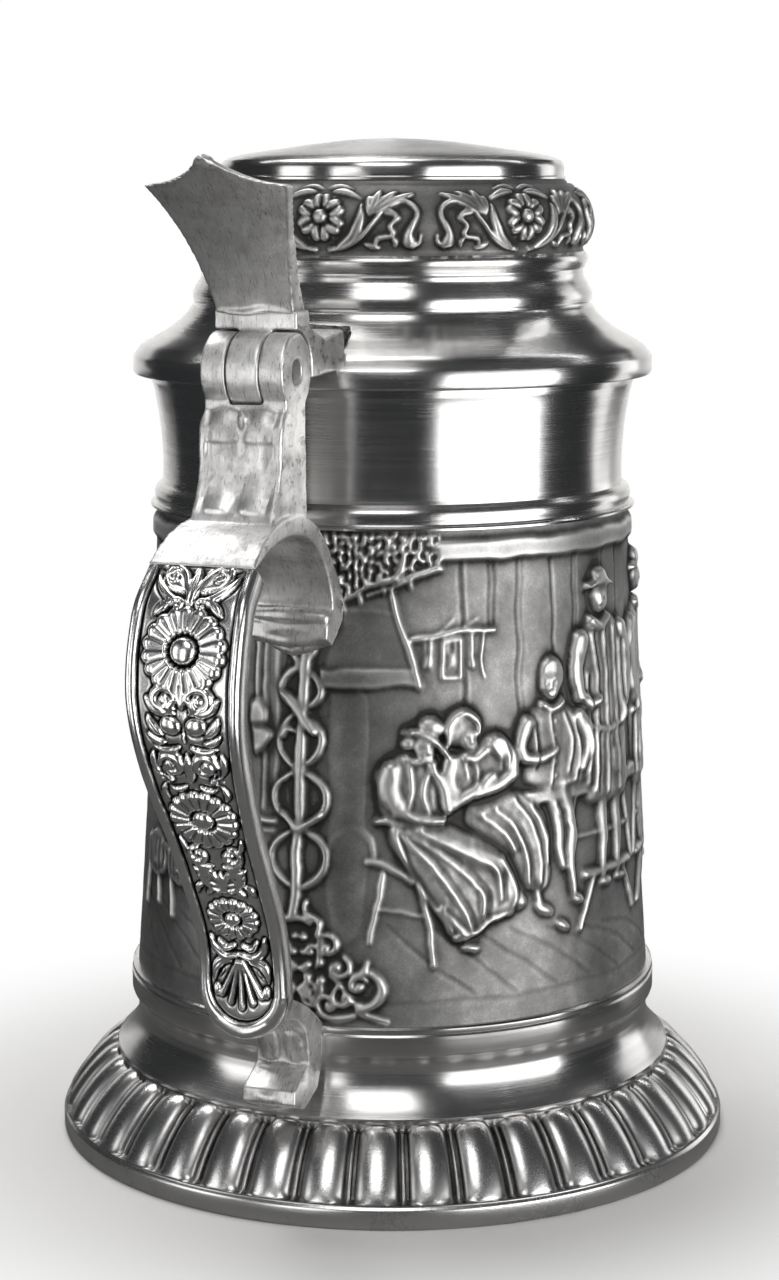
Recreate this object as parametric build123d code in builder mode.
"""Lidded pewter tankard: a relief-cast barrel on a gadrooned foot, with a strap handle and a hinged lid.

Frame: millimetres, +Z up, origin at the centre of the foot's underside, +X towards the handle.
The lid's hinge pin lies along Y, above the lip on the handle side.
"""
from build123d import *
import os

# ---------------------------------------------------------------- walls and fits
wall = 2.2                  # turned and cast body wall
lid_wall = 1.9              # spun lid wall
lap_depth = 2.0             # length of each soldered lap between turned pieces
lap_wall = 1.2              # thickness of a lap's inner tongue
lid_clearance = 1.0         # lid skirt around the drinking lip
seat_gap = 0.2              # lid seat above the drinking lip
pin_clearance = 0.05        # hinge pin in the lid's knuckle, on radius
knuckle_gap = 0.15          # each side of the lid's knuckle
sweep_gap = 0.35            # between the ears and the parts that swing over them

# ---------------------------------------------------------------- body heights
foot_rim_height = 4.0       # plain rim that stands on the table
gadroon_height = 10.2       # lobed ring above the rim
waist_height = 15.2         # polished band under the barrel
barrel_height = 79.8        # relief-cast wall
collar_height = 24.3        # turned neck, up to the drinking lip

# ---------------------------------------------------------------- body radii
neck_radius = 39.15         # narrowest part of the turned neck
barrel_shoulder = 1.45      # top of the barrel beyond the neck
barrel_base_radius = 44.9   # foot of the barrel
foot_flare = 3.4            # top of the lobed ring beyond the barrel's foot
foot_spread = 9.7           # rim beyond the top of the lobed ring
lip_flare = 1.75            # drinking lip beyond the neck
collar_bead = 2.2           # bead at the foot of the neck, beyond the neck
floor_thickness = 2.0       # bottom plate

# ---------------------------------------------------------------- lid
skirt_drop = 2.0            # rim hangs below the lip
skirt_height = 18.5         # from the lip to the ornament band
band_height = 11.7
crown_height = 7.0
skirt_slope = 11.7          # the skirt draws in this far from rim to band
band_bulge = 1.5            # ornament band beyond the skirt's top
crown_inset = 3.3           # crown inside the skirt's top

# ---------------------------------------------------------------- hinge
hinge_standoff = 16.0       # pin beyond the lid's rim
hinge_rise = 2.1            # pin above the drinking lip
pin_radius = 1.9
ear_radius = 5.9
hinge_width = 13.4          # over both ears
knuckle_width = 5.3
pin_recess = 0.2            # each pin end inside its ear

# ---------------------------------------------------------------- handle
grip_tip_gap = 21.9         # front of the grip's lower end beyond the waist
grip_belly = 21.5           # the grip bows out this far beyond its lower end
grip_thickness = 4.2
grip_head_width = 18.3
grip_low_width = 14.0
strap_thickness = 2.9       # hook that carries the handle on the barrel
hook_width = 13.0
shoulder_width = 17.0
post_depth = 8.0            # hinge post, front to back
leg_width = 9.0
bite = 1.0                  # handle castings run this far in before they are fitted to the wall

# ---------------------------------------------------------------- thumb plate
thumb_height = 31.7         # above the pin
thumb_lean = 20.5           # tip beyond the pin
thumb_width = 22.8
thumb_root_width = 12.6
block_height = 9.0          # top of the hinge block above the pin

# ---------------------------------------------------------------- levels worked out from the sizes
gadroon_top = foot_rim_height + gadroon_height
waist_top = gadroon_top + waist_height
barrel_top = waist_top + barrel_height
lip_z = barrel_top + collar_height
seat_z = lip_z + seat_gap
skirt_top = lip_z + skirt_height
band_top = skirt_top + band_height
crown_top = band_top + crown_height

barrel_neck_radius = neck_radius + barrel_shoulder
waist_radius = barrel_base_radius - 0.3
waist_lip_radius = barrel_base_radius + 0.8
gadroon_top_radius = barrel_base_radius + foot_flare
foot_radius = gadroon_top_radius + foot_spread
lip_radius = neck_radius + lip_flare
skirt_inner_radius = lip_radius + lid_clearance
lid_radius = skirt_inner_radius + 2.1
lid_neck_radius = lid_radius - skirt_slope
crown_radius = lid_neck_radius - crown_inset
hinge_x = lid_radius + hinge_standoff
hinge_z = lip_z + hinge_rise
knuckle_cut_radius = ear_radius + sweep_gap


def barrel_radius(z):
    """Outer radius of the hollow-sided barrel at height z."""
    rise = (z - waist_top) / barrel_height
    return barrel_neck_radius + (barrel_base_radius - barrel_neck_radius) * (1 - rise) ** 1.3


# ================================================================ turned body, from the table up
tongue_radius = waist_radius + 1.6      # lap between the foot ring and the waist

with BuildPart() as foot_ring:
    with BuildSketch(Plane.XZ):
        with BuildLine():
            rim = Polyline(
                (foot_radius - 3.4, 0),
                (foot_radius - 0.5, 0),
                (foot_radius, 0.6),
                (foot_radius, foot_rim_height - 0.3),
                (foot_radius - 0.6, foot_rim_height + 0.2),
            )
            lobe_mid = (foot_radius - 0.36 * (foot_radius - gadroon_top_radius), gadroon_top - 4.0)
            lobe = ThreePointArc(rim @ 1, lobe_mid, (gadroon_top_radius, gadroon_top))
            land = Line(lobe @ 1, (tongue_radius, gadroon_top))
            tongue_seat = Line(land @ 1, (tongue_radius, gadroon_top - lap_depth - 0.4))
            hollow_mid = (lobe_mid[0] - 2.0, lobe_mid[1] - 2.0)
            hollow = ThreePointArc(tongue_seat @ 1, hollow_mid, (foot_radius - 3.4, foot_rim_height))
            Line(hollow @ 1, rim @ 0)
        make_face()
    revolve(axis=Axis.Z)
foot_ring.part.label = "foot_ring"

with BuildPart() as foot_waist:
    bore_radius = waist_radius - wall
    with BuildSketch(Plane.XZ):
        with BuildLine():
            flare = Polyline(
                (tongue_radius, gadroon_top),
                (gadroon_top_radius, gadroon_top),
                (gadroon_top_radius, gadroon_top + 0.9),
            )
            cove = Spline(
                flare @ 1,
                (waist_radius + 1.0, gadroon_top + 4.0),
                (waist_radius, gadroon_top + 7.4),
                (waist_radius + 0.4, gadroon_top + 9.3),
                (waist_lip_radius, gadroon_top + 10.8),
            )
            Polyline(
                cove @ 1,
                (waist_lip_radius, waist_top - 0.5),
                (waist_lip_radius - 0.5, waist_top),
                (bore_radius + lap_wall, waist_top),
                (bore_radius + lap_wall, waist_top - lap_depth),
                (bore_radius, waist_top - lap_depth),
                (bore_radius, gadroon_top),
                (tongue_radius - 1.6, gadroon_top),
                (tongue_radius - 1.6, gadroon_top - lap_depth),
                (tongue_radius, gadroon_top - lap_depth),
                (tongue_radius, gadroon_top),
            )
        make_face()
    revolve(axis=Axis.Z)
foot_waist.part.label = "foot_waist"

with BuildPart() as bottom_plate:
    with BuildSketch(Plane.XY.offset(gadroon_top - floor_thickness)):
        Circle(tongue_radius - 1.6)
    extrude(amount=floor_thickness)
bottom_plate.part.label = "bottom_plate"

collar_bore = neck_radius - wall
barrel_rebate = collar_bore + 1.0 + lap_wall

with BuildPart() as relief_barrel:
    barrel_levels = [waist_top + share * barrel_height for share in (0, 0.25, 0.5, 0.75, 1)]
    with BuildSketch(Plane.XZ):
        with BuildLine():
            outside = Spline(*[(barrel_radius(z), z) for z in barrel_levels])
            inside = Spline(
                *[(barrel_radius(z) - wall - 0.3, z) for z in barrel_levels[1:4]],
                (collar_bore + 1.0, barrel_top - lap_depth - 2.0),
            )
            Polyline(
                outside @ 1,
                (barrel_rebate, barrel_top),
                (barrel_rebate, barrel_top - lap_depth),
                (collar_bore + 1.0, barrel_top - lap_depth),
                inside @ 1,
            )
            Polyline(
                inside @ 0,
                (bore_radius, waist_top + 2.0),
                (bore_radius, waist_top - lap_depth),
                (bore_radius + lap_wall, waist_top - lap_depth),
                (bore_radius + lap_wall, waist_top),
                outside @ 0,
            )
        make_face()
    revolve(axis=Axis.Z)
relief_barrel.part.label = "relief_barrel"

with BuildPart() as neck_collar:
    bead_radius = neck_radius + collar_bead
    with BuildSketch(Plane.XZ):
        with BuildLine():
            bead = Polyline(
                (barrel_rebate, barrel_top),
                (bead_radius - 0.5, barrel_top),
                (bead_radius, barrel_top + 0.4),
                (bead_radius - 0.6, barrel_top + 1.2),
            )
            roll = ThreePointArc(
                bead @ 1,
                (bead_radius - 0.5, barrel_top + 2.6),
                (neck_radius + 0.1, barrel_top + 4.0),
            )
            neck = Spline(
                roll @ 1,
                (neck_radius, barrel_top + 7.0),
                (neck_radius + 0.45, lip_z - 10.0),
                (lip_radius, lip_z - 3.0),
            )
            Polyline(
                neck @ 1,
                (lip_radius, lip_z - 0.4),
                (lip_radius - 0.4, lip_z),
                (lip_radius - wall, lip_z),
                (lip_radius - wall, lip_z - 3.0),
                (collar_bore, lip_z - 14.0),
                (collar_bore, barrel_top + 3.0),
                (collar_bore + 1.0, barrel_top),
                (collar_bore + 1.0, barrel_top - lap_depth),
                (barrel_rebate, barrel_top - lap_depth),
                bead @ 0,
            )
        make_face()
    revolve(axis=Axis.Z)
neck_collar.part.label = "neck_collar"

# ================================================================ lid, three spun shells
skirt_bore = lid_neck_radius - lid_wall
band_rebate = skirt_bore + 1.0
crown_bore = crown_radius - 2.6
crown_rebate = crown_bore + lap_wall

with BuildPart() as lid_skirt:
    slope_run = lid_radius - lid_neck_radius
    slope_foot = lip_z + 1.7
    slope_rise = skirt_height - 10.7
    with BuildSketch(Plane.XZ):
        with BuildLine():
            band = Polyline(
                (skirt_inner_radius, lip_z - skirt_drop),
                (lid_radius - 0.8, lip_z - skirt_drop),
                (lid_radius, lip_z - skirt_drop + 0.6),
                (lid_radius, lip_z + 1.2),
                (lid_radius - 0.5, slope_foot),
            )
            shoulder = Spline(
                band @ 1,
                (lid_radius - 0.33 * slope_run, slope_foot + 0.33 * slope_rise),
                (lid_radius - 0.67 * slope_run, slope_foot + 0.68 * slope_rise),
                (lid_neck_radius + 1.5, slope_foot + slope_rise),
            )
            ring = ThreePointArc(
                shoulder @ 1,
                (lid_neck_radius + 1.4, skirt_top - 7.0),
                (lid_neck_radius + 0.1, skirt_top - 4.5),
            )
            step = ThreePointArc(
                ring @ 1,
                (lid_neck_radius + 0.6, skirt_top - 1.5),
                (lid_neck_radius, skirt_top),
            )
            tongue_rebate = Polyline(
                step @ 1,
                (band_rebate, skirt_top),
                (band_rebate, skirt_top - lap_depth),
                (skirt_bore, skirt_top - lap_depth),
                (skirt_bore, skirt_top - 4.5),
                (skirt_bore + 0.8, skirt_top - 8.0),
            )
            under = Spline(
                tongue_rebate @ 1,
                (lid_radius - 0.67 * slope_run - 2.2, slope_foot + 0.68 * slope_rise - 0.8),
                (lid_radius - 0.33 * slope_run - 2.0, slope_foot + 0.33 * slope_rise - 0.9),
                (lip_radius - 1.7, seat_z + 1.1),
            )
            Polyline(under @ 1, (lip_radius - 1.7, seat_z), (skirt_inner_radius, seat_z), band @ 0)
        make_face()
    revolve(axis=Axis.Z)
lid_skirt.part.label = "lid_skirt"

with BuildPart() as lid_band:
    bulge_radius = lid_neck_radius + band_bulge
    bulge_z = skirt_top + 0.44 * band_height
    with BuildSketch(Plane.XZ):
        with BuildLine():
            belly = Spline(
                (lid_neck_radius, skirt_top),
                (bulge_radius, bulge_z),
                (bulge_radius - 1.0, band_top - 3.3),
                (crown_radius + 0.4, band_top),
            )
            Polyline(
                belly @ 1,
                (crown_rebate, band_top),
                (crown_rebate, band_top - lap_depth),
                (bulge_radius - lid_wall - 1.6, band_top - 3.8),
                (bulge_radius - lid_wall - 0.2, bulge_z),
                (skirt_bore, skirt_top + 1.0),
                (skirt_bore, skirt_top - lap_depth),
                (band_rebate, skirt_top - lap_depth),
                (band_rebate, skirt_top),
                belly @ 0,
            )
        make_face()
    revolve(axis=Axis.Z)
lid_band.part.label = "lid_band"

with BuildPart() as lid_crown:
    with BuildSketch(Plane.XZ):
        with BuildLine():
            side = Polyline(
                (crown_rebate, band_top),
                (crown_radius, band_top),
                (crown_radius, band_top + 2.3),
                (crown_radius - 0.7, band_top + 3.3),
            )
            dome = Spline(
                side @ 1,
                (0.63 * crown_radius, crown_top - 1.65),
                (0, crown_top),
                tangents=((-1, 0.25), (-1, 0)),
            )
            drop = Line(dome @ 1, (0, crown_top - lid_wall))
            soffit = Spline(
                drop @ 1,
                (0.63 * crown_radius, crown_top - 1.65 - lid_wall),
                (crown_bore, band_top + 2.0),
                tangents=((1, 0), (1, -0.4)),
            )
            Polyline(
                soffit @ 1,
                (crown_bore, band_top - lap_depth),
                (crown_rebate, band_top - lap_depth),
                side @ 0,
            )
        make_face()
    revolve(axis=Axis.Z)
lid_crown.part.label = "lid_crown"

# ================================================================ handle castings, fixed to the body
shoulder_z = barrel_top + 3.4           # underside of the hinge post
grip_top = barrel_top - 0.6
grip_tip = waist_top + 3.4
grip_length = grip_top - grip_tip
grip_tip_x = waist_lip_radius + grip_tip_gap


def grip_front(share):
    """Front of the grip at a share of its length above the tip, as (x, z)."""
    reach = {0.04: 0.0, 0.2: 0.06, 0.36: 0.35, 0.6: 0.85, 0.76: 1.0, 0.92: 0.87, 1.0: 0.62}[share]
    return (
        grip_tip_x + reach * grip_belly,
        grip_tip + share * grip_length,
    )


grip_shares = (0.04, 0.2, 0.36, 0.6, 0.76, 0.92, 1.0)

with BuildPart() as handle_grip:
    with BuildSketch(Plane.XZ):
        with BuildLine():
            face = Spline(*[grip_front(share) for share in grip_shares])
            back = Spline(*[(x - grip_thickness, z) for x, z in map(grip_front, grip_shares)])
            Line(face @ 1, back @ 1)
            tip = ThreePointArc(
                face @ 0,
                (grip_tip_x - 0.2 * grip_thickness, grip_tip),
                back @ 0,
            )
        make_face()
    extrude(amount=grip_head_width, both=True)
    with BuildSketch(Plane.YZ.offset(grip_tip_x)):
        with BuildLine():
            edge = Spline(
                (grip_low_width / 2 - 1.5, grip_tip + 0.03 * grip_length),
                (grip_low_width / 2, grip_tip + 0.16 * grip_length),
                (grip_low_width / 2 + 0.3, grip_tip + 0.42 * grip_length),
                (grip_head_width / 2, grip_tip + 0.8 * grip_length),
                (shoulder_width / 2, grip_top + 1.0),
            )
            Line(edge @ 1, (0, grip_top + 1.0))
            ThreePointArc(edge @ 0, (grip_low_width / 4, grip_tip), (0, grip_tip - 1.0))
            mirror(about=Plane.YZ)
        make_face()
    extrude(amount=grip_belly + grip_thickness, both=True, mode=Mode.INTERSECT)
handle_grip.part.label = "handle_grip"

hook_x = barrel_radius(barrel_top - 12.0)
hook_toe_z = barrel_top - 17.6

with BuildPart() as handle_post:
    # strap: from the grip's head over the shoulder and down against the barrel
    grip_head = grip_front(1.0)
    with BuildSketch(Plane.XZ):
        with BuildLine():
            outer = Spline(
                (grip_head[0] + 0.3, grip_top),
                (hinge_x + 15.5, barrel_top + 3.0),
                (hinge_x + 4.0, barrel_top + 5.0),
                (hinge_x - 9.0, barrel_top + 1.6),
                (hook_x + 2.0, barrel_top - 7.0),
                (hook_x - bite, barrel_top - 11.0),
            )
            heel = Polyline(
                outer @ 1,
                (hook_x - bite, barrel_top - 13.6),
                (hook_x + 4.6, hook_toe_z),
                (hook_x + 7.2, hook_toe_z + 1.4),
                (hook_x + 7.0, hook_toe_z + 3.6),
                (hook_x + 4.2, barrel_top - 11.6),
            )
            inner = Spline(
                heel @ 1,
                (hook_x + 5.6, barrel_top - 7.6),
                (hinge_x - 7.0, barrel_top + 1.6 - strap_thickness + 0.6),
                (hinge_x + 4.0, barrel_top + 5.0 - strap_thickness),
                (grip_head[0] - 0.8, grip_top),
            )
            Line(inner @ 1, outer @ 0)
        make_face()
    extrude(amount=shoulder_width / 2, both=True)
    with BuildSketch(Plane.XY.offset(hook_toe_z - bite)):
        with BuildLine():
            flank = Polyline(
                (hook_x - bite, hook_width / 2),
                (hinge_x, hook_width / 2 + 0.4),
                (grip_head[0] + bite, shoulder_width / 2),
                (grip_head[0] + bite, -shoulder_width / 2),
                (hinge_x, -hook_width / 2 - 0.4),
                (hook_x - bite, -hook_width / 2),
                close=True,
            )
        make_face()
    extrude(amount=barrel_height, mode=Mode.INTERSECT)
    # post and ears
    with BuildSketch(Plane.XZ):
        with BuildLine():
            Polyline(
                (hinge_x + post_depth - 4.0, hinge_z),
                (hinge_x - 4.0, hinge_z),
                (hinge_x - 3.5, hinge_z - ear_radius),
                (hinge_x - 3.8, shoulder_z - 1.5),
                (hinge_x + post_depth + 4.0, shoulder_z - 1.0),
                (hinge_x + post_depth - 0.2, shoulder_z + 4.6),
                (hinge_x + post_depth - 1.8, shoulder_z + 11.0),
                (hinge_x + post_depth - 1.8, shoulder_z + 15.0),
                (hinge_x + post_depth - 3.7, hinge_z - ear_radius + 0.4),
                close=True,
            )
        make_face()
        with Locations((hinge_x, hinge_z)):
            Circle(ear_radius)
    extrude(amount=hinge_width / 2, both=True)
    # slot for the lid's knuckle
    with BuildSketch(Plane.XZ):
        with Locations((hinge_x, hinge_z)):
            Circle(knuckle_cut_radius)
            Rectangle(4 * ear_radius, 2 * ear_radius, align=(Align.CENTER, Align.MIN))
    extrude(amount=knuckle_width / 2 + knuckle_gap, both=True, mode=Mode.SUBTRACT)
    # pin hole through both ears
    with BuildSketch(Plane.XZ):
        with Locations((hinge_x, hinge_z)):
            Circle(pin_radius)
    extrude(amount=hinge_width, both=True, mode=Mode.SUBTRACT)
    add(relief_barrel.part, mode=Mode.SUBTRACT)
    add(handle_grip.part, mode=Mode.SUBTRACT)
handle_post.part.label = "handle_post"

with BuildPart() as handle_leg:
    leg_root = waist_lip_radius
    leg_meet = grip_front(0.04)
    with BuildSketch(Plane.XZ):
        with BuildLine():
            top = Spline(
                (leg_meet[0] - grip_thickness + 0.4, grip_tip + 6.4),
                (leg_root + 10.5, grip_tip + 4.0),
                (leg_root + 4.0, grip_tip + 0.6),
                (leg_root - bite, waist_top + 0.2),
            )
            shin = Polyline(
                top @ 1,
                (leg_root - bite, waist_top - 5.0),
                (leg_root + 1.6, waist_top - 9.8),
                (leg_root + 7.3, waist_top - 11.6),
                (leg_root + 11.8, waist_top - 9.6),
                (leg_root + 11.4, waist_top - 7.4),
                (leg_root + 5.6, waist_top - 4.6),
            )
            arch = Spline(
                shin @ 1,
                (leg_root + 6.6, waist_top + 0.6),
                (leg_meet[0] - grip_thickness + 0.8, grip_tip + 1.6),
            )
            Line(arch @ 1, top @ 0)
        make_face()
    extrude(amount=leg_width / 2, both=True)
    add(foot_waist.part, mode=Mode.SUBTRACT)
    add(relief_barrel.part, mode=Mode.SUBTRACT)
    add(handle_grip.part, mode=Mode.SUBTRACT)
handle_leg.part.label = "handle_leg"

with BuildPart() as hinge_pin:
    with BuildSketch(Plane.XZ):
        with Locations((hinge_x, hinge_z)):
            Circle(pin_radius)
    extrude(amount=hinge_width / 2 - pin_recess, both=True)
hinge_pin.part.label = "hinge_pin"

# ================================================================ hinge and thumb plate, fixed to the lid
with BuildPart() as hinge_block:
    strap_end = lid_radius - 3.9
    with BuildSketch(Plane.XZ):
        with BuildLine():
            Polyline(
                (hinge_x, hinge_z),
                (hinge_x + 0.2, hinge_z + block_height),
                (hinge_x - 5.0, hinge_z + block_height),
                (hinge_x - 5.4, hinge_z + 6.4),
                (strap_end + 8.0, hinge_z + 4.4),
                (strap_end + 0.6, hinge_z + 5.4),
                (strap_end, hinge_z + 3.6),
                (strap_end, slope_foot - 0.4),
                (hinge_x - 5.6, hinge_z - 1.4),
                close=True,
            )
        make_face()
    extrude(amount=hinge_width / 2, both=True)
    with BuildSketch(Plane.XZ.offset(knuckle_width / 2), Plane.XZ.offset(-hinge_width / 2)):
        with Locations((hinge_x, hinge_z)):
            Circle(knuckle_cut_radius)
    extrude(amount=(hinge_width - knuckle_width) / 2, mode=Mode.SUBTRACT)
    with BuildSketch(Plane.XZ):
        with Locations((hinge_x, hinge_z)):
            Circle(ear_radius)
    extrude(amount=knuckle_width / 2, both=True)
    with BuildSketch(Plane.XZ):
        with Locations((hinge_x, hinge_z)):
            Circle(pin_radius + pin_clearance)
    extrude(amount=hinge_width, both=True, mode=Mode.SUBTRACT)
    add(lid_skirt.part, mode=Mode.SUBTRACT)
hinge_block.part.label = "hinge_block"

with BuildPart() as thumb_plate:
    root_z = hinge_z + block_height
    blade = thumb_height - block_height
    with BuildSketch(Plane.XZ):
        with BuildLine():
            front = Spline(
                (hinge_x + 0.6, root_z),
                (hinge_x + 0.24 * thumb_lean, root_z + 0.33 * blade),
                (hinge_x + 0.52 * thumb_lean, root_z + 0.64 * blade),
                (hinge_x + thumb_lean, root_z + blade),
            )
            rear = Spline(
                (hinge_x - 4.4, root_z),
                (hinge_x + 0.24 * thumb_lean - 3.4, root_z + 0.33 * blade),
                (hinge_x + 0.52 * thumb_lean - 2.4, root_z + 0.66 * blade),
                (hinge_x + thumb_lean - 1.2, root_z + blade + 0.9),
            )
            Line(front @ 0, rear @ 0)
            Line(front @ 1, rear @ 1)
        make_face()
    extrude(amount=thumb_width / 2, both=True)
    with BuildSketch(Plane.YZ.offset(hinge_x - 5.0)):
        with BuildLine():
            wing = Spline(
                (thumb_root_width / 2, root_z),
                (thumb_root_width / 2 + 1.1, root_z + 0.3 * blade),
                (thumb_width / 2 - 2.2, root_z + 0.6 * blade),
                (thumb_width / 2, root_z + 0.83 * blade),
            )
            crest = ThreePointArc(
                wing @ 1,
                (0.25 * thumb_width, root_z + 0.87 * blade),
                (0, root_z + blade + 0.4),
            )
            Line(wing @ 0, (0, root_z))
            mirror(about=Plane.YZ)
        make_face()
    extrude(amount=thumb_lean + 10.0, mode=Mode.INTERSECT)
thumb_plate.part.label = "thumb_plate"

with BuildPart() as strap_solder:
    with BuildSketch(Plane.XZ):
        with BuildLine():
            bead_top = Spline(
                (strap_end, hinge_z + 3.4),
                (strap_end - 2.2, hinge_z + 4.8),
                (strap_end - 4.3, hinge_z + 5.8),
            )
            Polyline(
                bead_top @ 1,
                (strap_end - 4.5, hinge_z + 4.9),
                (strap_end - 2.4, hinge_z + 2.8),
                (strap_end, hinge_z + 1.2),
                bead_top @ 0,
            )
        make_face()
    extrude(amount=hinge_width / 2 - 0.6, both=True)
    add(lid_skirt.part, mode=Mode.SUBTRACT)
    add(hinge_block.part, mode=Mode.SUBTRACT)
strap_solder.part.label = "strap_solder"

# ================================================================ one file per piece
pieces = (
    foot_ring,
    foot_waist,
    bottom_plate,
    relief_barrel,
    neck_collar,
    handle_post,
    handle_grip,
    handle_leg,
    hinge_pin,
    lid_skirt,
    lid_band,
    lid_crown,
    hinge_block,
    thumb_plate,
    strap_solder,
)
os.makedirs("parts", exist_ok=True)
for piece in pieces:
    export_step(piece.part, f"parts/{piece.part.label}.step")
